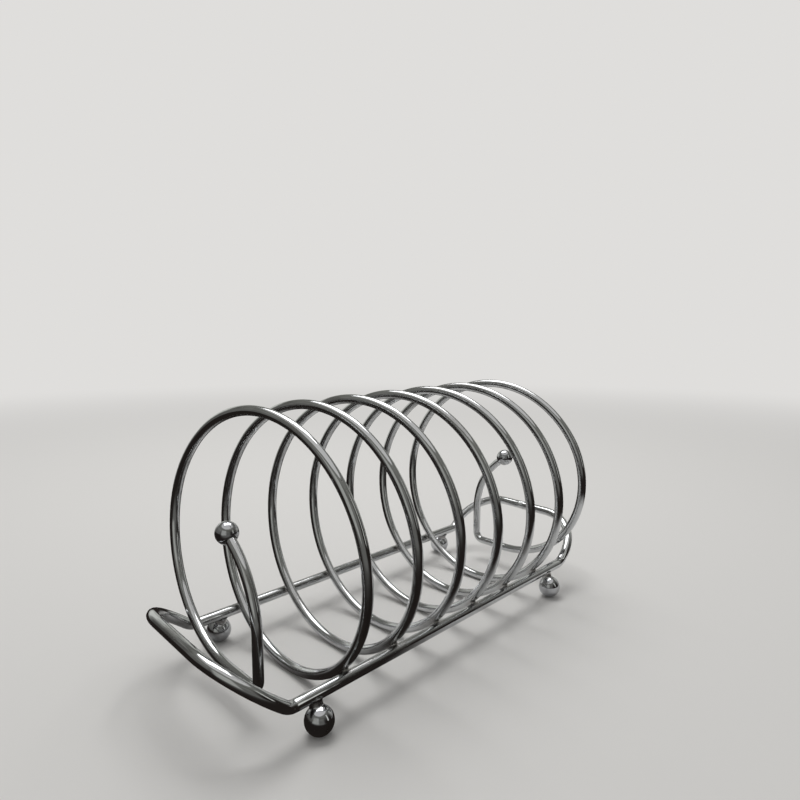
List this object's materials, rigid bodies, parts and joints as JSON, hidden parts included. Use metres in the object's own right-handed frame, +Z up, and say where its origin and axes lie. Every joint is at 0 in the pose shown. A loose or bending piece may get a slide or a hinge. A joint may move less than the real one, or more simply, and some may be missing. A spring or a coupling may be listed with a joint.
{
  "type": "napkin holder",
  "caption": "Chrome wire napkin holder: a coil lying on its side on a bent base wire with ball feet; napkins stand between its turns.",
  "frame": {"origin": "on the table, under the middle of the holder", "axes": "+Z up, +Y along the coil's axis from the front to the back, +X to the right seen from the front"},
  "size_m": [0.1238, 0.2658, 0.1238],
  "materials": {
    "coil_chrome": "bright plated wire",
    "base_chrome": "bright plated wire",
    "ball_chrome": "bright plated balls"
  },
  "bodies": {
    "root": {"coil_wire": "coil_chrome", "base_frame": "base_chrome", "foot_front_right": "ball_chrome", "foot_front_left": "ball_chrome", "foot_back_right": "ball_chrome", "foot_back_left": "ball_chrome", "finial_front": "ball_chrome", "finial_back": "ball_chrome"}
  },
  "joints": []
}
